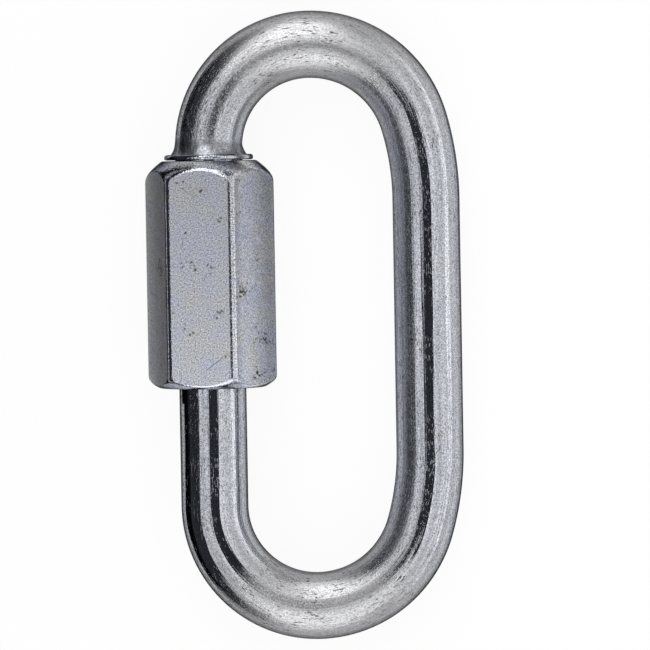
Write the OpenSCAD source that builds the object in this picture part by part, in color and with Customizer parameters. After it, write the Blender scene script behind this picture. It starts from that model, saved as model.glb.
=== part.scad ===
// Oval chain quick link with a screw gate, closed and lying flat on a table.
// Millimetres. Z is up, Y runs along the link, and the gate leg with its nut is on the -X side.
// The link rests on one flat of the nut and on its plain leg, so its plane leans a little.

/* [Bar] */
// Diameter of the round bar that the link is bent from
bar_d = 10; // [8:0.1:12]
// Clear width between the two legs
inner_w = 22; // [20:0.5:30]
// Overall length of the link
link_l = 93; // [86:0.5:130]

/* [Bows] */
// Radius that eases each bow into the plain leg, on the bar's centreline
shoulder_r = 41; // [30:1:60]
// How much further out the plain leg lies than the round of the bow
shoulder_out = 1; // [0.5:0.1:2]

/* [Collar] */
// How far the upset collar stands out from the bar
collar_lip = 1.6; // [1.3:0.1:2]
// Thickness of the collar, whose rim is fully rounded
collar_t = 0.8; // [0.6:0.1:1.2]
// Radius of the fillet that flares the bar out to the collar
flare_r = 1; // [0.5:0.1:1.5]

/* [Gate and thread] */
// Opening between the two threaded ends when the nut is run back
gate_gap = 12; // [8:0.5:14]
// Length of the short thread under the collar
short_thread_l = 5; // [3:0.25:7]
// Pitch of the thread
thread_pitch = 1.75; // [1:0.25:2]
// Radial gap between the bar and the crests of the nut's thread
bar_gap = 0.05; // [0.02:0.01:0.3]
// Radial running gap between the two threads
thread_gap = 0.05; // [0.02:0.01:0.1]
// Length of the 45 degree chamfer on each threaded tip
tip_chamfer = 1; // [0.5:0.1:1.5]

/* [Sleeve nut] */
// Width of the nut across its flats
nut_af = 17; // [16:0.5:24]
// Length of the nut
nut_l = 33.5; // [30:0.5:40]
// Depth of the rounding along the six corners of the nut
corner_cut = 0.16; // [0.05:0.01:0.4]
// Width of the flat ring on the nut's end at the collar
head_ring_w = 0.75; // [0.5:0.05:1.5]
// Slope of the chamfer at the collar end, from the end face
head_slope = 38; // [20:1:45]
// Width of the flat ring on the nut's other end, its foot
foot_ring_w = 1.6; // [0.5:0.05:1.6]
// Slope of the chamfer at the foot, from the end face
foot_slope = 30; // [20:1:45]
// How far each mouth of the bore opens out past the thread, at 45 degrees
mouth_ease = 0.25; // [0.1:0.05:0.5]
// How far the closed nut reaches past the end of the long thread
thread_cover = 2; // [1:0.25:4]
// Gap between the closed nut and the collar
seat_gap = 0.1; // [0.05:0.05:0.5]

/* [Hidden] */
$fn = 96;

bar_r = bar_d / 2;
leg_gap = inner_w + bar_d;

// Bow: a quarter turn off the gate leg, a longer turn over the crown, then the easy shoulder.
// Each bend is part of a ring, and the next starts on the line through both rings' centres.
crown_r = leg_gap / 2;
gate_bow_r = crown_r - shoulder_out;
bow_x = gate_bow_r - leg_gap / 2;
bow_y = link_l / 2 - bar_r - gate_bow_r;
crown_y = bow_y - shoulder_out;
shoulder_step = shoulder_r - crown_r;
shoulder_a = acos(1 - shoulder_out / shoulder_step);
shoulder_x = leg_gap / 2 - shoulder_r;
shoulder_y = crown_y - shoulder_step * sin(shoulder_a);

// The shoulder runs on into the crown and is a hair thinner, so that the two fuse at any size.
// Rings are faceted finely enough for that hair to show.
fuse_lap = 0.3;
fuse_step = 0.02;
plain_d = bar_d - fuse_step;
ring_fn = 360;

// Metric thread, drawn as a plain cylinder at its pitch diameter. The two shares are ISO's own:
// how far the minor and the pitch diameter lie below the major one, in pitches.
minor_share = 1.0825;
pitch_share = 0.6495;
nut_crest_d = bar_d + 2 * bar_gap;
thread_d = nut_crest_d + minor_share * thread_pitch;
pitch_d = thread_d - pitch_share * thread_pitch;
bore_d = pitch_d + 2 * thread_gap;
mouth_d = thread_d + 2 * mouth_ease;
mouth_h = (mouth_d - bore_d) / 2;
run_out = thread_pitch;

// Lengths along the gate leg, which add up from one bow to the other.
gate_leg_l = 2 * bow_y;
collar_r = bar_r + collar_lip;
flare_fit = min(flare_r, collar_lip - collar_t / 2);
seat_l = flare_fit + collar_t;
nut_foot_l = seat_l + seat_gap + nut_l;
long_bar_l = gate_leg_l - nut_foot_l + thread_cover;
long_thread_l = gate_leg_l - seat_l - short_thread_l - gate_gap - long_bar_l - run_out;

// Sleeve nut, turned over its corners and over both ends.
nut_corner_r = nut_af / sqrt(3) - corner_cut;
head_ring_r = mouth_d / 2 + head_ring_w;
foot_ring_r = mouth_d / 2 + foot_ring_w;
head_chamfer_h = (nut_corner_r - head_ring_r) * tan(head_slope);
foot_chamfer_h = (nut_corner_r - foot_ring_r) * tan(foot_slope);

// The link's plane leans so that the nut's lower flat and the plain leg both touch Z = 0.
lean = asin((nut_af - plain_d) / 2 / leg_gap);
lie_x = (nut_corner_r - plain_d / 2) / 2;
lie_z = (nut_af + plain_d) / 4;
gate_axis_x = lie_x - leg_gap / 2 * cos(lean);

bar_colour = "#b4b8c0";
nut_colour = "#9aa3b2";

// Lays a shape drawn in the link's own plane down on the table.
module lie_down() {
    translate([lie_x, 0, lie_z])
        rotate([0, lean, 0])
            children();
}

// A bent stretch of bar: the part of a ring round the centre that lies within the outline.
module bent_bar(d, r, centre, outline) {
    intersection() {
        translate(centre)
            rotate_extrude($fn = ring_fn)
                translate([r, 0])
                    circle(d = d);
        linear_extrude(2 * bar_d, center = true)
            polygon(outline);
    }
}

// One end of the link. The children are its end of the gate leg, which stops at the bow.
module half_link() {
    far = link_l;
    gate_centre = [bow_x, bow_y];
    crown_centre = [bow_x, crown_y];
    crown_end = crown_centre + far * [cos(shoulder_a), sin(shoulder_a)];
    lap = fuse_lap * [-sin(shoulder_a), cos(shoulder_a)];
    translate([-leg_gap / 2, bow_y, 0])
        children();
    bent_bar(bar_d, gate_bow_r, gate_centre, [gate_centre, [bow_x, far], [-far, far], [-far, bow_y]]);
    bent_bar(bar_d, crown_r, crown_centre, [crown_centre, crown_end, [crown_end.x, far], [bow_x, far]]);
    bent_bar(
        plain_d,
        shoulder_r,
        [shoulder_x, shoulder_y],
        [crown_centre + lap, [bow_x, shoulder_y], [crown_end.x, shoulder_y], crown_end + lap]
    );
    translate([leg_gap / 2, 0, 0])
        rotate([-90, 0, 0])
            cylinder(d = plain_d, h = shoulder_y);
}

// A threaded end with its chamfered tip.
module threaded_end(l) {
    cylinder(d = pitch_d, h = l - tip_chamfer);
    translate([0, 0, l - tip_chamfer])
        cylinder(d1 = pitch_d, d2 = pitch_d - 2 * tip_chamfer, h = tip_chamfer);
}

// The bar flares out into the collar, which the nut closes on, and the short thread follows.
module collar_end() {
    rim_r = collar_t / 2;
    rotate([90, 0, 0]) {
        rotate_extrude() {
            difference() {
                square([bar_r + flare_fit, flare_fit]);
                translate([bar_r + flare_fit, 0])
                    circle(r = flare_fit);
            }
            translate([0, flare_fit])
                square([collar_r - rim_r, collar_t]);
            translate([collar_r - rim_r, flare_fit])
                intersection() {
                    translate([0, rim_r])
                        circle(r = rim_r);
                    square([rim_r, collar_t]);
                }
        }
        translate([0, 0, seat_l])
            threaded_end(short_thread_l);
    }
}

// The plain bar that the nut runs back over, and the long thread.
module long_end() {
    rotate([90, 0, 0]) {
        cylinder(d = bar_d, h = long_bar_l);
        translate([0, 0, long_bar_l])
            cylinder(d1 = bar_d, d2 = pitch_d, h = run_out);
        translate([0, 0, long_bar_l + run_out])
            threaded_end(long_thread_l);
    }
}

// The bent bar, one piece from the short thread round both bows to the long thread.
module link_bar() {
    color(bar_colour)
        lie_down() {
            half_link()
                collar_end();
            mirror([0, 1, 0])
                half_link()
                    long_end();
        }
}

// Outline that the lathe leaves over the nut's corners and its two chamfered ends.
module nut_turning() {
    rotate_extrude()
        polygon([
            [0, 0],
            [foot_ring_r, 0],
            [nut_corner_r, foot_chamfer_h],
            [nut_corner_r, nut_l - head_chamfer_h],
            [head_ring_r, nut_l],
            [0, nut_l]
        ]);
}

module nut_bore() {
    rotate_extrude()
        polygon([
            [0, 0],
            [mouth_d / 2, 0],
            [bore_d / 2, mouth_h],
            [bore_d / 2, nut_l - mouth_h],
            [mouth_d / 2, nut_l],
            [0, nut_l]
        ]);
}

// Long hexagon nut with one flat down on the table and its head against the collar.
module sleeve_nut() {
    color(nut_colour)
        translate([gate_axis_x, bow_y - nut_foot_l, nut_af / 2])
            rotate([-90, 0, 0])
                difference() {
                    intersection() {
                        cylinder(r = nut_af / sqrt(3), h = nut_l, $fn = 6);
                        nut_turning();
                    }
                    nut_bore();
                }
}

link_bar();
sleeve_nut();
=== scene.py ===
"""Oval chain quick link with a screw gate: the bent bar, its sleeve nut and a small photo studio.

Lengths are millimetres until a piece is finished, and metres after that, in the frame of the CAD part.
"""
import math

import bmesh
import bpy
from mathutils import Euler, Matrix, Vector, noise


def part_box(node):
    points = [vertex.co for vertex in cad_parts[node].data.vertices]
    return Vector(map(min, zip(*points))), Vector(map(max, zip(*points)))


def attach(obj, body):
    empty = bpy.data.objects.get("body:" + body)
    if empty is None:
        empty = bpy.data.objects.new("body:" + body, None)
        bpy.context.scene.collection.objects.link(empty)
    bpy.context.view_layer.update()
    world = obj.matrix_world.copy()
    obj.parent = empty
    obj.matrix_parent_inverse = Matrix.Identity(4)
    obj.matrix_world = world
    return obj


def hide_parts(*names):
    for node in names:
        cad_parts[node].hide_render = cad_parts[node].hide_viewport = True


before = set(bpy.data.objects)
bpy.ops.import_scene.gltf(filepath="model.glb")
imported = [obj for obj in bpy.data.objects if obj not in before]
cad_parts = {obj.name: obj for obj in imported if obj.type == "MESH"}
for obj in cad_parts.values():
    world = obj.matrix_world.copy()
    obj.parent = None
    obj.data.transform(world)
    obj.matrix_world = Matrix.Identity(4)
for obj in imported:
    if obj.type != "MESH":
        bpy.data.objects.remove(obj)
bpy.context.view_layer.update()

MM = 0.001

# Sizes that the frame gives: the nut's box and the length of the link
nut_low, nut_high = (Vector(corner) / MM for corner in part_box("sleeve_nut"))
bar_low, bar_high = (Vector(corner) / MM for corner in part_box("link_bar"))
nut_middle = (nut_low + nut_high) / 2
NUT_AF = nut_high.z - nut_low.z
LINK_L = bar_high.y - bar_low.y

# Bar and bows, as the bar was bent. The skin's radius is a hair under half the bar's diameter,
# so that the skin stays in the CAD part's box.
BAR_D = 10
BAR_R = 4.98
LEG_GAP = 32
SHOULDER_R = 41
SHOULDER_OUT = 1
CROWN_R = LEG_GAP / 2
GATE_BOW_R = CROWN_R - SHOULDER_OUT
BOW_Y = LINK_L / 2 - BAR_D / 2 - GATE_BOW_R
SHOULDER_A = math.acos(1 - SHOULDER_OUT / (SHOULDER_R - CROWN_R))
PLAIN_LEG_L = 2 * (BOW_Y - SHOULDER_OUT - (SHOULDER_R - CROWN_R) * math.sin(SHOULDER_A))

# The link lies on the nut's flat and on its plain leg, so its plane leans a little
LEAN = math.asin((NUT_AF / 2 - BAR_R) / LEG_GAP)
LIE = (
    Matrix.Translation((nut_middle.x, 0, nut_middle.z))
    @ Matrix.Rotation(LEAN, 4, "Y")
    @ Matrix.Translation((LEG_GAP / 2, 0, 0))
)

# Collar, the flare above it and the threaded ends, whose chamfered tips start at TIP_R
SEAT_GAP = 0.1
SEAT_Y = nut_high.y + SEAT_GAP
SHORT_THREAD_L = 5
COLLAR_T = 0.8
COLLAR_R = 6.6
FLARE_R = 3.05
FLARE_L = 2.7
GATE_GAP = 12
PITCH = 1.75
RUN_OUT = PITCH
THREAD_COVER = 2
TIP_R = 4.43
THREAD_ROOT_R = BAR_R
THREAD_RUNNING_GAP = 0.1
# A 60 degree thread: an eighth of the pitch on the crest, a quarter at the root, flanks between
CREST_SHARE = 1 / 8
ROOT_SHARE = 1 / 4
FLANK_SHARE = (1 - CREST_SHARE - ROOT_SHARE) / 2
THREAD_DEPTH = FLANK_SHARE * PITCH / math.tan(math.radians(30))

SHORT_TIP_Y = SEAT_Y - SHORT_THREAD_L
LONG_TIP_Y = SHORT_TIP_Y - GATE_GAP
LONG_ROOT_Y = nut_low.y + THREAD_COVER

# The bar's way from the short tip to the long one: each length, and its bend radius, or 0 if straight
ROUTE = [
    (BOW_Y - SHORT_TIP_Y, 0),
    (GATE_BOW_R * math.pi / 2, GATE_BOW_R),
    (CROWN_R * (math.pi / 2 - SHOULDER_A), CROWN_R),
    (SHOULDER_R * SHOULDER_A, SHOULDER_R),
    (PLAIN_LEG_L, 0),
    (SHOULDER_R * SHOULDER_A, SHOULDER_R),
    (CROWN_R * (math.pi / 2 - SHOULDER_A), CROWN_R),
    (GATE_BOW_R * math.pi / 2, GATE_BOW_R),
    (LONG_TIP_Y + BOW_Y, 0),
]
ROUTE_L = sum(length for length, radius in ROUTE)
COLLAR_SEAT = SHORT_THREAD_L
FLARE_END = COLLAR_SEAT + FLARE_L
LONG_ROOT = ROUTE_L - (LONG_TIP_Y - LONG_ROOT_Y)

# Sleeve nut: each end has a flat ring, then a chamfer that starts at a slope and is crowned
NUT_CORNER_ROUND = 1.25
HEAD_RING_R = 7.0
HEAD_SLOPE = math.radians(35.7)
HEAD_CROWN = 0.165
FOOT_RING_R = 7.85
FOOT_SLOPE = math.radians(27.8)
FOOT_CROWN = 0.45
MOUTH_R = 6.25
CHAMFER_EASE = 0.25
RIM_EASE = 0.06
# How far below the sharp hexagon the burnish of its corners sets in, and the depth it takes to grow full
BURNISH_START = 0.0005
BURNISH_DEPTH = 0.004

# Out of round by drawing and bending: how much, and the noise's reach round the bar and along it
OUT_OF_ROUND = 0.03
OUT_OF_ROUND_TURN = 0.8
OUT_OF_ROUND_L = 26
# The uneven rim of the upset collar: how much, the noise's reach round the rim, and the slice of it
COLLAR_LUMPS = 0.32
COLLAR_LUMPS_TURN = 3.2
COLLAR_LUMPS_SLICE = 7
# The nut has pressed its side of the rim squarer than a half round: 1 is round, 0 is square
RIM_ROUNDNESS = 0.4

# How dull the bar's parts are, where the gate leg is 0 and the crowns of the bows are 1
PLAIN_LEG_DULL = 0.05
PLAIN_INSIDE_DULL = 0.9
BOW_START_DULL = 0.55
FLARE_DULL = 0.9
FLARE_DULL_FADE = 4
RIM_DULL = 0.15
# The bend's dullness sets in and is full at these sines of the angle the bar has turned by
BEND_START = 0.52
BEND_FULL = 0.9
# The strip that chain rubs, inside the link, sets in and is full at these cosines round the bar
INSIDE_START = 0.15
LEG_INSIDE_FULL = 0.6
BOW_INSIDE_FULL = 0.35

# How finely the pieces are meshed, and from which angle an edge is shaded as one
BAR_SIDES = 96
BAR_STEP = 0.8
FLARE_STEP = 0.15
RIM_STEPS = 8
THREAD_STEP = PITCH / 14
NUT_FLAT_SIDES = 14
NUT_CORNER_SIDES = 12
NUT_END_L = 3.2
NUT_END_STEP = 0.09
NUT_BODY_STEP = 2.0
SHARP_ANGLE = math.radians(40)


# Shapes

def thread_rise(turn, y):
    """How high the right-hand thread stands over its root at a place round and along the gate leg."""
    phase = (y / PITCH - turn / (2 * math.pi)) % 1
    off_crest = abs(phase - 0.5) - CREST_SHARE / 2
    return THREAD_DEPTH * (1 - min(max(off_crest / FLANK_SHARE, 0), 1))


def soft_min(a, b, ease):
    """The smaller of two sizes, with the edge where they cross rounded over about that length."""
    near = max(ease - abs(a - b), 0) / ease
    return min(a, b) - near * near * ease / 4


def smooth_step(share):
    """Eases a share from 0 to 1, and holds it there."""
    share = min(max(share, 0), 1)
    return share * share * (3 - 2 * share)


def route_place(station):
    """The bar's place at a station: local Y runs on along the bar, and local X points into the link."""
    place = LIE @ Matrix.Translation((-LEG_GAP / 2, SHORT_TIP_Y, 0))
    for length, radius in ROUTE:
        step = min(station, length)
        if radius:
            centre = Matrix.Translation((radius, 0, 0))
            place = place @ centre @ Matrix.Rotation(-step / radius, 4, "Z") @ centre.inverted()
        else:
            place = place @ Matrix.Translation((0, step, 0))
        station -= step
    return place


def steps_between(start, end, step):
    """Evenly spaced places from start up to, and without, end."""
    count = max(1, round(abs(end - start) / step))
    return [start + (end - start) * i / count for i in range(count)]


def bar_wear(station, turn):
    """How dull the bar is, and how hard it was bent: 0 on the gate leg, 1 over the crowns of the bows.

    The upset flare is dull as well, and so is the inside of the plain leg, where chain rubs.
    """
    if station < COLLAR_SEAT + COLLAR_T:
        return RIM_DULL, 0
    heading = 0
    left = station
    for length, radius in ROUTE:
        step = min(left, length)
        if radius:
            heading += step / radius
        left -= step
    turned = 0.5 - 0.5 * math.cos(heading)
    slant = abs(math.sin(heading))
    bow = smooth_step((slant - BEND_START) / (BEND_FULL - BEND_START))
    leg = PLAIN_LEG_DULL * turned
    if heading < math.pi:
        leg += BOW_START_DULL * (1 - turned)
    flare = FLARE_DULL * (1 - max(station - FLARE_END, 0) / FLARE_DULL_FADE)
    full = LEG_INSIDE_FULL + (BOW_INSIDE_FULL - LEG_INSIDE_FULL) * smooth_step(slant / BEND_START)
    inside = min(max((math.cos(turn) - INSIDE_START) / (full - INSIDE_START), 0), 1)
    dull = max(bow + leg * (1 - bow), flare, PLAIN_INSIDE_DULL * turned * inside)
    return dull, smooth_step(slant / BEND_FULL)


def drawn_bar_r(station, turn):
    """Radius of the plain bar, which the drawing die and the bending left a little out of round."""
    reach = OUT_OF_ROUND_TURN
    spot = Vector((math.cos(turn) * reach, math.sin(turn) * reach, station / OUT_OF_ROUND_L))
    return BAR_R - OUT_OF_ROUND * (0.5 + 0.5 * noise.noise(spot))


def collar_rim(r, out):
    """The collar's rim, which was upset in a press and came out a little uneven."""
    def radius(turn):
        reach = COLLAR_LUMPS_TURN
        spot = Vector((math.cos(turn) * reach, math.sin(turn) * reach, COLLAR_LUMPS_SLICE))
        return r + COLLAR_LUMPS * out * noise.noise(spot)
    return radius


def bar_rings():
    """Every ring of the bar from the short tip to the long one: its station, and its radius by angle."""
    rings = []

    def threaded(station, from_tip, full):
        y = route_place(station).translation.y
        rise = min(max(full, 0), 1)
        limit = TIP_R + from_tip
        # A ring's own angle starts inside the link, a quarter turn on from the top of the nut
        rings.append((station, lambda turn: min(
            THREAD_ROOT_R + rise * thread_rise(math.pi / 2 - turn, y), limit)))

    for station in steps_between(0, COLLAR_SEAT, THREAD_STEP):
        threaded(station, station, (COLLAR_SEAT - station) / RUN_OUT)
    rings.append((COLLAR_SEAT, lambda turn: THREAD_ROOT_R))
    for i in range(RIM_STEPS + 1):
        round_rim = math.pi * i / RIM_STEPS
        out = math.sin(round_rim)
        if round_rim < math.pi / 2:
            out **= RIM_ROUNDNESS
        station = COLLAR_SEAT + COLLAR_T / 2 * (1 - math.cos(round_rim))
        rings.append((station, collar_rim(COLLAR_R + COLLAR_T / 2 * (out - 1), out)))
    for station in steps_between(COLLAR_SEAT + COLLAR_T, FLARE_END, FLARE_STEP):
        swell = FLARE_R - math.sqrt(FLARE_R ** 2 - (FLARE_END - station) ** 2)
        rings.append((station, lambda turn, s=station, w=swell: drawn_bar_r(s, turn) + w))
    for station in steps_between(FLARE_END, LONG_ROOT, BAR_STEP):
        rings.append((station, lambda turn, s=station: drawn_bar_r(s, turn)))
    for station in steps_between(LONG_ROOT, ROUTE_L, THREAD_STEP) + [ROUTE_L]:
        threaded(station, ROUTE_L - station, (station - LONG_ROOT) / RUN_OUT)
    return rings


def fix_order(bm):
    """Sorts edges and faces by their vertices: extruding lists them in another order on each run."""
    bm.verts.index_update()
    total = len(bm.verts)

    def place(part):
        indices = [v.index for v in part.verts]
        return min(indices) * total + max(indices)
    for parts in (bm.edges, bm.faces):
        parts.sort(key=place)
        parts.index_update()


def loft(rings, turns, share_names, closed):
    """Sweeps a circle of vertices through the rings by extruding its rim, and returns the bmesh.

    A ring gives, for each turn, a vertex, where it was on the straight bar, which the unbent layer keeps
    for patterns that follow the bar, and shares for the finish, which the named layers keep.
    """
    bm = bmesh.new()
    bm.verts.layers.int.new("order")
    bm.verts.layers.float_vector.new("unbent")
    for name in share_names:
        bm.verts.layers.float.new(name)
    # A new layer moves the ones before it, so they are looked up when all are there
    order = bm.verts.layers.int["order"]
    unbent = bm.verts.layers.float_vector["unbent"]
    shares = [bm.verts.layers.float[name] for name in share_names]
    rim = bmesh.ops.create_circle(bm, cap_ends=False, radius=1, segments=len(turns))["verts"]
    for i, v in enumerate(rim):
        v[order] = i
    first = edges = list(bm.edges)
    for count, point in enumerate(rings):
        if count:
            made = bmesh.ops.extrude_edge_only(bm, edges=edges)["geom"]
            edges = [e for e in made if isinstance(e, bmesh.types.BMEdge) and len(e.link_faces) == 1]
            rim = {v for e in edges for v in e.verts}
        for v in rim:
            v.co, v[unbent], values = point(turns[v[order]])
            for share, value in zip(shares, values):
                v[share] = value
    if closed:
        bmesh.ops.bridge_loops(bm, edges=first + edges)
    else:
        for ends in (first, edges):
            bmesh.ops.contextual_create(bm, geom=ends)
    bm.verts.layers.int.remove(order)
    fix_order(bm)
    bmesh.ops.recalc_face_normals(bm, faces=bm.faces)
    return bm


def finish_piece(bm, name, material, body, node):
    """Turns a bmesh in millimetres into the piece that stands for a CAD node."""
    bmesh.ops.scale(bm, vec=(MM, MM, MM), verts=bm.verts)
    for face in bm.faces:
        face.smooth = True
    mesh = bpy.data.meshes.new(name)
    bm.to_mesh(mesh)
    bm.free()
    mesh.set_sharp_from_angle(angle=SHARP_ANGLE)
    mesh.materials.append(material)
    piece = bpy.data.objects.new(name, mesh)
    bpy.context.collection.objects.link(piece)
    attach(piece, body)
    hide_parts(node)


def bent_bar():
    """The bar from tip to tip, one closed skin with both threads and the collar."""
    turns = [2 * math.pi * i / BAR_SIDES for i in range(BAR_SIDES)]

    def placed(station, radius):
        place = route_place(station)

        def point(turn):
            r = radius(turn)
            across = Vector((r * math.cos(turn), 0, r * math.sin(turn)))
            return place @ across, Vector((across.x, across.z, station)), bar_wear(station, turn)
        return point
    return loft([placed(*ring) for ring in bar_rings()], turns, ("dull", "bent"), closed=False)


def hexagon_r(turn):
    """Radius of the hexagon bar at an angle from the middle of a flat, with its corners rounded."""
    half = NUT_AF / 2
    sixth = math.pi / 3
    from_flat = abs((turn + sixth / 2) % sixth - sixth / 2)
    from_corner = sixth / 2 - from_flat
    if half * math.tan(from_flat) <= (half - NUT_CORNER_ROUND) * math.tan(sixth / 2):
        return half / math.cos(from_flat)
    centre = (half - NUT_CORNER_ROUND) / math.cos(sixth / 2)
    return centre * math.cos(from_corner) + math.sqrt(
        NUT_CORNER_ROUND ** 2 - (centre * math.sin(from_corner)) ** 2
    )


def turned_r(depth, ring_r, slope, crown):
    """Radius of an end's turned chamfer at a depth: crowned, so it grows steeper from its slope."""
    full_depth = 1 / (2 * crown * math.tan(slope))
    return ring_r + depth / math.tan(slope) - crown * depth ** 2 if depth < full_depth else NUT_AF


def burnish(turn, r):
    """How smooth the nut is: 0 on its flats, 1 where the die rounded it or the lathe has cut it."""
    flat_r = NUT_AF / 2 / math.cos((turn + math.pi / 6) % (math.pi / 3) - math.pi / 6)
    return min(max((flat_r - r - BURNISH_START) / BURNISH_DEPTH, 0), 1)


def nut_rings():
    """Every ring of the nut, up its outside from foot to head and back down its bore."""
    low, high = nut_low.y, nut_high.y
    rings = []

    def outside(y):
        turned = min(
            turned_r(y - low, FOOT_RING_R, FOOT_SLOPE, FOOT_CROWN),
            turned_r(high - y, HEAD_RING_R, HEAD_SLOPE, HEAD_CROWN),
        )
        rings.append((y, lambda turn: soft_min(hexagon_r(turn), turned, CHAMFER_EASE)))

    def bore(y):
        mouth = MOUTH_R - min(y - low, high - y)
        rings.append((y, lambda turn: max(
            mouth, THREAD_ROOT_R + THREAD_RUNNING_GAP + thread_rise(turn, y))))

    def end_face(y, inwards, ring_r):
        radii = [ring_r - RIM_EASE, MOUTH_R + RIM_EASE]
        for r in radii if inwards else reversed(radii):
            rings.append((y, lambda turn, r=r: r))

    end_face(low, False, FOOT_RING_R)
    for y in steps_between(low + RIM_EASE, low + NUT_END_L, NUT_END_STEP):
        outside(y)
    for y in steps_between(low + NUT_END_L, high - NUT_END_L, NUT_BODY_STEP):
        outside(y)
    for y in steps_between(high - NUT_END_L, high - RIM_EASE, NUT_END_STEP) + [high - RIM_EASE]:
        outside(y)
    end_face(high, True, HEAD_RING_R)
    for y in steps_between(high - RIM_EASE, low + RIM_EASE, THREAD_STEP) + [low + RIM_EASE]:
        bore(y)
    return rings


def sleeve_nut():
    """The long hexagon nut, threaded right through, as one closed skin."""
    flat_end = math.atan((1 - NUT_CORNER_ROUND / (NUT_AF / 2)) * math.tan(math.pi / 6))
    turns = []
    for flat in range(6):
        middle = flat * math.pi / 3
        turns += [middle + flat_end * (2 * i / NUT_FLAT_SIDES - 1) for i in range(NUT_FLAT_SIDES)]
        corner = middle + math.pi / 6
        round_half = math.pi / 6 - flat_end
        turns += [corner + round_half * (2 * i / NUT_CORNER_SIDES - 1) for i in range(NUT_CORNER_SIDES)]

    def placed(y, radius):
        def point(turn):
            r = radius(turn)
            place = Vector((nut_middle.x + r * math.sin(turn), y, nut_middle.z + r * math.cos(turn)))
            return place, place, (burnish(turn, r),)
        return point
    return loft([placed(*ring) for ring in nut_rings()], turns, ("burnish",), closed=True)


# Finishes

def linear(code):
    """An sRGB hex colour as linear RGBA."""
    parts = [int(code[i:i + 2], 16) / 255 for i in (1, 3, 5)]
    return [p / 12.92 if p <= 0.04045 else ((p + 0.055) / 1.055) ** 2.4 for p in parts] + [1]


def add(tree, kind, sockets, **settings):
    """Adds a node. Its sockets, by name or number, take values or other nodes' outputs."""
    made = tree.nodes.new(kind)
    for name, value in settings.items():
        setattr(made, name, value)
    for key, value in sockets.items():
        if isinstance(value, bpy.types.NodeSocket):
            tree.links.new(value, made.inputs[key])
        else:
            made.inputs[key].default_value = value
    return made


# The film mirrors less at a glancing angle, which draws a dark outline round the metal
EDGE_TINT = "#404040"


def new_material(name):
    """An empty material and its node tree."""
    material = bpy.data.materials.new(name)
    material.use_nodes = True
    material.node_tree.nodes.clear()
    return material, material.node_tree


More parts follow.
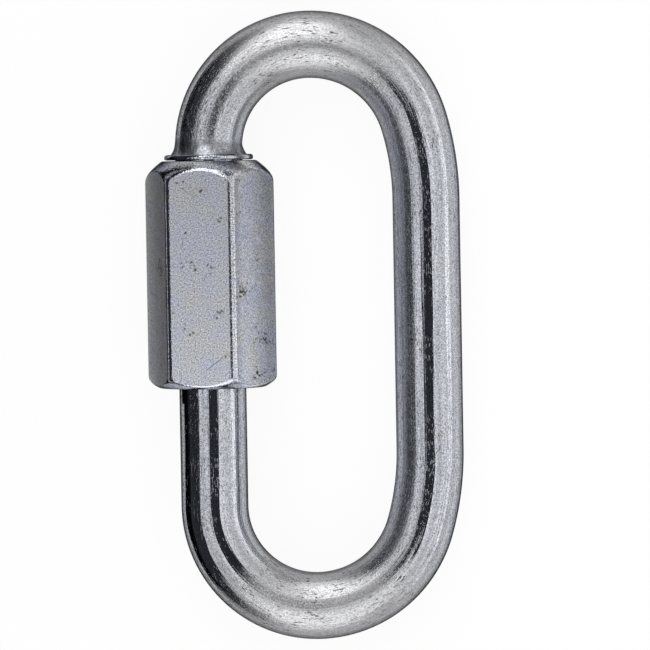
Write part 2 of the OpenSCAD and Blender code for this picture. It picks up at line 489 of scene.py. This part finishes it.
def bar_finish():
    """Bright zinc plate with a blue passivation, on drawn steel bar that was bent cold.

    On the legs it mirrors the studio in long bands with a blue cast, broken by draw lines and pits.
    Over the bows, which the bending tools and other links rubbed, it is a dull grey with dark scuffs.
    """
    material, tree = new_material("zinc_plate_on_drawn_bar")
    place = add(tree, "ShaderNodeAttribute", {}, attribute_name="unbent").outputs["Vector"]
    dull = add(tree, "ShaderNodeAttribute", {}, attribute_name="dull").outputs["Fac"]
    bent = add(tree, "ShaderNodeAttribute", {}, attribute_name="bent").outputs["Fac"]
    # Draw lines run far along the bar, and scuffs a little way
    along = add(tree, "ShaderNodeMapping", {"Vector": place, "Scale": (1, 1, 1 / 60)}).outputs[0]
    scuffed = add(tree, "ShaderNodeMapping", {"Vector": place, "Scale": (1, 1, 1 / 6)}).outputs[0]

    # Grain of about 0.2 mm
    grain = add(tree, "ShaderNodeTexNoise", {
        "Vector": place, "Scale": 1 / 0.2, "Detail": 1.0,
    }).outputs["Fac"]
    # Draw lines about 0.5 mm apart
    lines = add(tree, "ShaderNodeTexNoise", {
        "Vector": along, "Scale": 1 / 0.5, "Detail": 3.0,
    }).outputs["Fac"]
    # Pits of about 0.2 mm, which glint in the dark bands
    specks = add(tree, "ShaderNodeTexNoise", {
        "Vector": place, "Scale": 1 / 0.3, "Detail": 2.0,
    }).outputs["Fac"]
    pits = add(tree, "ShaderNodeMapRange", {
        "Value": specks, "From Min": 0.58, "From Max": 0.7,
    }, interpolation_type="SMOOTHSTEP").outputs[0]
    # Patches of about 5 mm where the plating took the passivation more or less
    patches = add(tree, "ShaderNodeTexNoise", {
        "Vector": place, "Scale": 1 / 5, "Detail": 3.0,
    }).outputs["Fac"]
    # Scuffs 0.15 mm wide and six times as long, in patches, most of them on the bows
    marks = add(tree, "ShaderNodeTexNoise", {
        "Vector": scuffed, "Scale": 1 / 0.15, "Detail": 1.0,
    }).outputs["Fac"]
    where = add(tree, "ShaderNodeTexNoise", {
        "Vector": place, "Scale": 1 / 3, "Detail": 2.0,
    }).outputs["Fac"]
    held = add(tree, "ShaderNodeMath", {
        0: dull, 1: 0.12, 2: where,
    }, operation="MULTIPLY_ADD").outputs[0]
    rubbed = add(tree, "ShaderNodeMapRange", {
        "Value": held, "From Min": 0.44, "From Max": 0.7,
    }).outputs[0]
    thin = add(tree, "ShaderNodeMapRange", {
        "Value": marks, "From Min": 0.6, "From Max": 0.7,
    }, interpolation_type="SMOOTHSTEP").outputs[0]
    scuffs = add(tree, "ShaderNodeMath", {0: thin, 1: rubbed}, operation="MULTIPLY").outputs[0]

    blue = add(tree, "ShaderNodeMix", {
        0: patches, 6: linear("#B7B8BA"), 7: linear("#B0B4BF"),
    }, data_type="RGBA").outputs[2]
    plate = add(tree, "ShaderNodeMix", {
        0: bent, 6: blue, 7: linear("#AAAAAC"),
    }, data_type="RGBA").outputs[2]
    contrast = add(tree, "ShaderNodeMapRange", {
        "Value": bent, "From Max": 1.0, "To Min": 2.3, "To Max": 1.3,
    }).outputs[0]
    off_grey = add(tree, "ShaderNodeMath", {0: grain, 1: 0.5}, operation="SUBTRACT").outputs[0]
    speckle = add(tree, "ShaderNodeMath", {
        0: off_grey, 1: contrast, 2: 1.0,
    }, operation="MULTIPLY_ADD").outputs[0]
    drawn = add(tree, "ShaderNodeMapRange", {
        "Value": bent, "From Max": 1.0, "To Min": 1.1, "To Max": 0.4,
    }).outputs[0]
    off_line = add(tree, "ShaderNodeMath", {0: lines, 1: 0.5}, operation="SUBTRACT").outputs[0]
    streaks = add(tree, "ShaderNodeMath", {
        0: off_line, 1: drawn, 2: 1.0,
    }, operation="MULTIPLY_ADD").outputs[0]
    # Painted shade: the flare just above the collar is made darker
    station = add(tree, "ShaderNodeSeparateXYZ", {0: place}).outputs["Z"]
    off_flare = add(tree, "ShaderNodeMath", {
        0: station, 1: (COLLAR_SEAT + COLLAR_T + FLARE_END) / 2,
    }, operation="SUBTRACT").outputs[0]
    from_flare = add(tree, "ShaderNodeMath", {0: off_flare}, operation="ABSOLUTE").outputs[0]
    painted_flare_shade = add(tree, "ShaderNodeMapRange", {
        "Value": from_flare, "From Min": 0.7, "From Max": 1.4, "To Min": 0.6, "To Max": 1.0,
    }).outputs[0]
    drawn_tone = add(tree, "ShaderNodeMath", {
        0: speckle, 1: streaks,
    }, operation="MULTIPLY").outputs[0]
    tone = add(tree, "ShaderNodeMath", {0: drawn_tone, 1: painted_flare_shade}, operation="MULTIPLY").outputs[0]
    speckled = add(tree, "ShaderNodeVectorMath", {
        0: plate, "Scale": tone,
    }, operation="SCALE").outputs[0]
    colour = add(tree, "ShaderNodeMix", {
        0: scuffs, 6: speckled, 7: linear("#4A4541"),
    }, data_type="RGBA").outputs[2]

    rough = add(tree, "ShaderNodeMapRange", {
        "Value": dull, "From Max": 1.0, "To Min": 0.04, "To Max": 0.33,
    }).outputs[0]

    relief = add(tree, "ShaderNodeMapRange", {
        "Value": dull, "From Max": 1.0, "To Min": 0.06, "To Max": 0.7,
    }).outputs[0]
    grain_bump = add(tree, "ShaderNodeBump", {
        "Height": grain, "Distance": 0.015 * MM, "Strength": relief,
    }).outputs[0]
    line_bump = add(tree, "ShaderNodeBump", {
        "Height": lines, "Distance": 0.04 * MM, "Strength": 1.0, "Normal": grain_bump,
    }).outputs[0]
    pit_bump = add(tree, "ShaderNodeBump", {
        "Height": pits, "Distance": 0.02 * MM, "Strength": relief, "Normal": line_bump,
    }, invert=True).outputs[0]
    scuff_bump = add(tree, "ShaderNodeBump", {
        "Height": scuffs, "Distance": 0.02 * MM, "Strength": 1.0, "Normal": pit_bump,
    }, invert=True).outputs[0]
    shader = add(tree, "ShaderNodeBsdfPrincipled", {
        "Base Color": colour, "Metallic": 1.0, "Roughness": rough, "Normal": scuff_bump,
        "Specular Tint": linear(EDGE_TINT),
    })
    add(tree, "ShaderNodeOutputMaterial", {"Surface": shader.outputs[0]})
    return material


# Spanner scratches on the nut's upper flat: across from its middle, along, angle, length, width
SCRATCHES = [
    (1.98, -5.05, 37, 6.8, 0.2),
    (-2.6, 12.5, 80, 2.2, 0.15),
    (0.6, 7.4, 62, 2.6, 0.15),
]
# How near the height of its flat a scratch marks the nut
SCRATCH_REACH = 0.05
# Painted reflection on the flats that face the plain leg, across from the nut's middle: where a painted
# highlight sets in, where it fades into painted shade, and how much paler and darker these make the
# plating
PAINTED_HIGHLIGHT_BEGIN = (5.3, 5.9)
PAINTED_HIGHLIGHT_FADE = (6.3, 9.6)
PAINTED_HIGHLIGHT_GAIN = 0.46
PAINTED_SHADE_DEPTH = 0.3


def scratch(tree, place, spot, angle, length, width):
    """A share that is 1 along a straight scratch lying flat at a spot, and 0 elsewhere."""
    local = add(tree, "ShaderNodeMapping", {
        "Vector": place, "Location": spot, "Rotation": (0, 0, angle),
    }, vector_type="TEXTURE").outputs[0]
    off = add(tree, "ShaderNodeVectorMath", {0: local}, operation="ABSOLUTE").outputs[0]
    along, across, height = add(tree, "ShaderNodeSeparateXYZ", {0: off}).outputs
    share = add(tree, "ShaderNodeMath", {
        0: height, 1: SCRATCH_REACH,
    }, operation="LESS_THAN").outputs[0]
    for value, half in ((along, length / 2), (across, width / 2)):
        near = add(tree, "ShaderNodeMapRange", {
            "Value": value, "From Min": half, "From Max": 0.0,
        }, interpolation_type="SMOOTHSTEP").outputs[0]
        share = add(tree, "ShaderNodeMath", {0: share, 1: near}, operation="MULTIPLY").outputs[0]
    return share


def nut_finish():
    """Zinc plate with a blue passivation, on drawn hexagon bar.

    The flats are a satin, mottled blue-grey with a fine grain and small dark pits. The corners,
    burnished by the die, and the turned ends are smoother and draw thin bright and dark lines.
    """
    material, tree = new_material("zinc_plate_on_hexagon_bar")
    place = add(tree, "ShaderNodeAttribute", {}, attribute_name="unbent").outputs["Vector"]
    burnished = add(tree, "ShaderNodeAttribute", {}, attribute_name="burnish").outputs["Fac"]
    along = add(tree, "ShaderNodeMapping", {"Vector": place, "Scale": (1, 1 / 25, 1)}).outputs[0]

    # Grain of about 0.2 mm, and draw lines about 0.5 mm apart
    grain = add(tree, "ShaderNodeTexNoise", {
        "Vector": place, "Scale": 1 / 0.2, "Detail": 1.0,
    }).outputs["Fac"]
    lines = add(tree, "ShaderNodeTexNoise", {
        "Vector": along, "Scale": 1 / 0.5, "Detail": 2.0,
    }).outputs["Fac"]
    # Clouds of about 3 mm in the passivation
    clouds = add(tree, "ShaderNodeTexNoise", {
        "Vector": place, "Scale": 1 / 3, "Detail": 4.0,
    }).outputs["Fac"]
    # Pits of under 0.4 mm, in patches a few millimetres apart, on the flats alone
    specks = add(tree, "ShaderNodeTexNoise", {
        "Vector": place, "Scale": 1 / 0.4, "Detail": 2.0,
    }).outputs["Fac"]
    where = add(tree, "ShaderNodeTexNoise", {
        "Vector": place, "Scale": 1 / 3.5, "Detail": 2.0,
    }).outputs["Fac"]
    level = add(tree, "ShaderNodeMath", {0: specks, 1: where}, operation="ADD").outputs[0]
    pits = add(tree, "ShaderNodeMapRange", {
        "Value": level, "From Min": 1.22, "From Max": 1.3,
    }, interpolation_type="SMOOTHSTEP").outputs[0]
    marks = add(tree, "ShaderNodeMath", {
        0: pits, 1: burnished,
    }, operation="SUBTRACT", use_clamp=True).outputs[0]
    for dx, y, angle, length, width in SCRATCHES:
        spot = (nut_middle.x + dx, y, NUT_AF)
        line = scratch(tree, place, spot, math.radians(angle), length, width)
        marks = add(tree, "ShaderNodeMath", {0: marks, 1: line}, operation="MAXIMUM").outputs[0]

    tint = add(tree, "ShaderNodeMapRange", {
        "Value": clouds, "From Min": 0.35, "From Max": 0.65,
    }).outputs[0]
    plate = add(tree, "ShaderNodeMix", {
        0: tint, 6: linear("#B5B6B8"), 7: linear("#B0B4C1"),
    }, data_type="RGBA").outputs[2]
    speckle = add(tree, "ShaderNodeMapRange", {
        "Value": grain, "From Min": 0.35, "From Max": 0.65, "To Min": 0.62, "To Max": 1.36,
    }, clamp=False).outputs[0]
    # Painted light, laid into the plating's tone: paler towards the foot, and on the flats that face the
    # plain leg
    axes = add(tree, "ShaderNodeSeparateXYZ", {0: place}).outputs
    # Painted light: the flats are made paler towards the foot and darker towards the head
    foot_painted_light = add(tree, "ShaderNodeMapRange", {
        "Value": axes["Y"], "From Min": nut_low.y, "From Max": nut_high.y,
        "To Min": 1.15, "To Max": 0.83,
    }).outputs[0]
    # Painted highlight near the long edge of the flats that face the plain leg, fading into painted
    # shade
    highlight_begin = add(tree, "ShaderNodeMapRange", {
        "Value": axes["X"],
        "From Min": nut_middle.x + PAINTED_HIGHLIGHT_BEGIN[0], "From Max": nut_middle.x + PAINTED_HIGHLIGHT_BEGIN[1],
    }).outputs[0]
    highlight_to_shade = add(tree, "ShaderNodeMapRange", {
        "Value": axes["X"],
        "From Min": nut_middle.x + PAINTED_HIGHLIGHT_FADE[0], "From Max": nut_middle.x + PAINTED_HIGHLIGHT_FADE[1],
        "To Min": PAINTED_HIGHLIGHT_GAIN, "To Max": -PAINTED_SHADE_DEPTH,
    }, interpolation_type="SMOOTHSTEP").outputs[0]
    painted_reflection = add(tree, "ShaderNodeMath", {
        0: highlight_begin, 1: highlight_to_shade, 2: 1.0,
    }, operation="MULTIPLY_ADD").outputs[0]
    painted_light_tone = add(tree, "ShaderNodeMath", {0: foot_painted_light, 1: painted_reflection}, operation="MULTIPLY").outputs[0]
    tone = add(tree, "ShaderNodeMath", {0: speckle, 1: painted_light_tone}, operation="MULTIPLY").outputs[0]
    speckled = add(tree, "ShaderNodeVectorMath", {
        0: plate, "Scale": tone,
    }, operation="SCALE").outputs[0]
    colour = add(tree, "ShaderNodeMix", {
        0: marks, 6: speckled, 7: linear("#54514E"),
    }, data_type="RGBA").outputs[2]
    rough = add(tree, "ShaderNodeMapRange", {
        "Value": burnished, "From Max": 1.0, "To Min": 0.36, "To Max": 0.1,
    }).outputs[0]

    grain_bump = add(tree, "ShaderNodeBump", {
        "Height": grain, "Distance": 0.025 * MM, "Strength": 1.0,
    }).outputs[0]
    line_bump = add(tree, "ShaderNodeBump", {
        "Height": lines, "Distance": 0.02 * MM, "Strength": 1.0, "Normal": grain_bump,
    }).outputs[0]
    edge = add(tree, "ShaderNodeMix", {
        0: burnished, 6: linear("#FFFFFF"), 7: linear(EDGE_TINT),
    }, data_type="RGBA").outputs[2]
    shader = add(tree, "ShaderNodeBsdfPrincipled", {
        "Base Color": colour, "Metallic": 1.0, "Roughness": rough, "Normal": line_bump,
        "Specular Tint": edge,
    })
    add(tree, "ShaderNodeOutputMaterial", {"Surface": shader.outputs[0]})
    return material


# Studio

# Metres from the origin to the middle of each panel, and half the floor's width
PANEL_DISTANCE = 0.7
FLOOR_HALF_W = 3.0
# The line, in millimetres, on which the dark cards stand to the left of the gate leg
DARK_CARD_X = -32
# Share of the floor's own white in what the lens and the metal see of it; the rest is light and shadow
FLOOR_WHITE = 0.92


def floor_card():
    """A wide matt white card that the link lies on."""
    bm = bmesh.new()
    bmesh.ops.create_grid(bm, x_segments=1, y_segments=1, size=FLOOR_HALF_W)
    mesh = bpy.data.meshes.new("floor_card")
    bm.to_mesh(mesh)
    bm.free()
    material, tree = new_material("matt_white_card")
    rays = add(tree, "ShaderNodeLightPath", {}).outputs
    seen = add(tree, "ShaderNodeMath", {
        0: rays["Is Camera Ray"], 1: rays["Is Glossy Ray"],
    }).outputs[0]
    seen = add(tree, "ShaderNodeMath", {0: seen, 1: rays["Is Transmission Ray"]}).outputs[0]
    share = add(tree, "ShaderNodeMath", {0: seen, 1: FLOOR_WHITE}, operation="MULTIPLY").outputs[0]
    lit = add(tree, "ShaderNodeBsdfDiffuse", {"Color": linear("#F0F0F0")}).outputs[0]
    white = add(tree, "ShaderNodeEmission", {
        "Color": linear("#FFFFFF"), "Strength": 1.0,
    }).outputs[0]
    shader = add(tree, "ShaderNodeMixShader", {0: share, 1: lit, 2: white})
    add(tree, "ShaderNodeOutputMaterial", {"Surface": shader.outputs[0]})
    mesh.materials.append(material)
    card = bpy.data.objects.new("floor_card", mesh)
    bpy.context.collection.objects.link(card)


def dark_card(name, alongs, heights):
    """A low black card beside the gate leg, unseen by the lens, that darkens the metal's left edge."""
    bm = bmesh.new()
    bmesh.ops.create_grid(bm, x_segments=1, y_segments=1, size=0.5)
    bmesh.ops.scale(bm, vec=(heights[1] - heights[0], alongs[1] - alongs[0], 1), verts=bm.verts)
    upright = Matrix.Rotation(math.radians(90), 3, "Y")
    bmesh.ops.rotate(bm, cent=(0, 0, 0), matrix=upright, verts=bm.verts)
    bmesh.ops.translate(bm, vec=(DARK_CARD_X, sum(alongs) / 2, sum(heights) / 2), verts=bm.verts)
    bmesh.ops.scale(bm, vec=(MM, MM, MM), verts=bm.verts)
    mesh = bpy.data.meshes.new(name)
    bm.to_mesh(mesh)
    bm.free()
    material, tree = new_material("matt_black_card")
    shader = add(tree, "ShaderNodeBsdfDiffuse", {"Color": linear("#101012")})
    add(tree, "ShaderNodeOutputMaterial", {"Surface": shader.outputs[0]})
    mesh.materials.append(material)
    card = bpy.data.objects.new(name, mesh)
    bpy.context.collection.objects.link(card)
    card.visible_camera = False
    card.visible_diffuse = False
    card.visible_shadow = False


def soft_panel(name, sides, alongs, radiance):
    """A flat lamp facing the link, between angles from overhead: sides towards +X, alongs towards +Y."""
    side, along = (math.radians(sum(span) / 2) for span in (sides, alongs))
    width, length = (
        2 * PANEL_DISTANCE * math.tan(math.radians(span[1] - span[0]) / 2) for span in (sides, alongs)
    )
    lamp = bpy.data.lights.new(name, "AREA")
    lamp.shape = "RECTANGLE"
    lamp.size, lamp.size_y = width, length
    lamp.energy = radiance * math.pi * width * length
    panel = bpy.data.objects.new(name, lamp)
    away = Vector((
        math.sin(side) * math.cos(along), math.sin(along), math.cos(side) * math.cos(along),
    ))
    right = Vector((math.cos(side), 0, -math.sin(side)))
    axes = Matrix((right, away.cross(right), away)).transposed()
    panel.matrix_world = Matrix.Translation(away * PANEL_DISTANCE) @ axes.to_4x4()
    panel.visible_camera = False
    bpy.context.collection.objects.link(panel)


def studio():
    """Soft panels to the left and right, with a gap for the lens between them, and one beyond each end.

    The right one is brighter at the gap and near the floor. Bridges close the gap at both ends, and do
    so nearer the lens on the left, so that the dark line it draws reaches on to the link's shoulders.
    """
    floor_card()
    soft_panel("left_panel", (-40, -7), (-52, 26), 0.9)
    soft_panel("right_panel", (26, 88), (-60, 60), 1.0)
    soft_panel("right_panel_edge", (26, 37), (-60, 60), 0.2)
    soft_panel("right_low_panel", (74, 89), (-60, 60), 0.5)
    soft_panel("far_bridge_panel", (-7, 14), (5, 34), 0.85)
    soft_panel("far_right_bridge_panel", (14, 26), (11, 34), 0.85)
    soft_panel("near_bridge_panel", (-7, 14), (-36, -9), 1.45)
    soft_panel("near_right_bridge_panel", (14, 26), (-36, -17), 1.45)
    soft_panel("far_end_panel", (-26, 8), (24, 84), 2.8)
    soft_panel("near_end_panel", (-18, 20), (-85, -34), 1.9)
    dark_card("nut_dark_card", (-12, 26), (2, 14))
    dark_card("near_dark_card", (-100, -12), (6, 14))
    dark_card("far_dark_card", (26, 100), (6, 14))
    # Dim grey walls show where the panels leave room
    world = bpy.data.worlds.new("studio_walls")
    world.use_nodes = True
    world.node_tree.nodes["Background"].inputs["Color"].default_value = linear("#383A40")
    bpy.context.scene.world = world


# Camera, at the photograph's angle: how the link is turned in front of the lens, in degrees, what it
# turns about, how far that lies off the picture's middle, the distance, and the picture's width there
VIEW_TURN = (2.00, -9.20, 0.66)
VIEW_MIDDLE = Vector((2.33, 0, 6.75)) * MM
VIEW_SHIFT = Vector((-0.77, -0.04, 0)) * MM
VIEW_DISTANCE = 0.8
PICTURE_W = 96.04 * MM


def view_camera():
    """The camera that the picture is taken with."""
    data = bpy.data.cameras.new("view_camera")
    data.sensor_width = 36
    data.lens = data.sensor_width * VIEW_DISTANCE / PICTURE_W
    camera = bpy.data.objects.new("view_camera", data)
    turn = Euler([math.radians(a) for a in VIEW_TURN]).to_matrix()
    back = Vector((0, 0, VIEW_DISTANCE)) - VIEW_SHIFT
    camera.matrix_world = (
        Matrix.Translation(VIEW_MIDDLE) @ turn.transposed().to_4x4() @ Matrix.Translation(back)
    )
    bpy.context.collection.objects.link(camera)
    bpy.context.scene.camera = camera


view_camera()
finish_piece(bent_bar(), "bent_bar", bar_finish(), "link", "link_bar")
finish_piece(sleeve_nut(), "hexagon_sleeve_nut", nut_finish(), "nut", "sleeve_nut")
studio()
bpy.context.scene.view_settings.view_transform = "Standard"
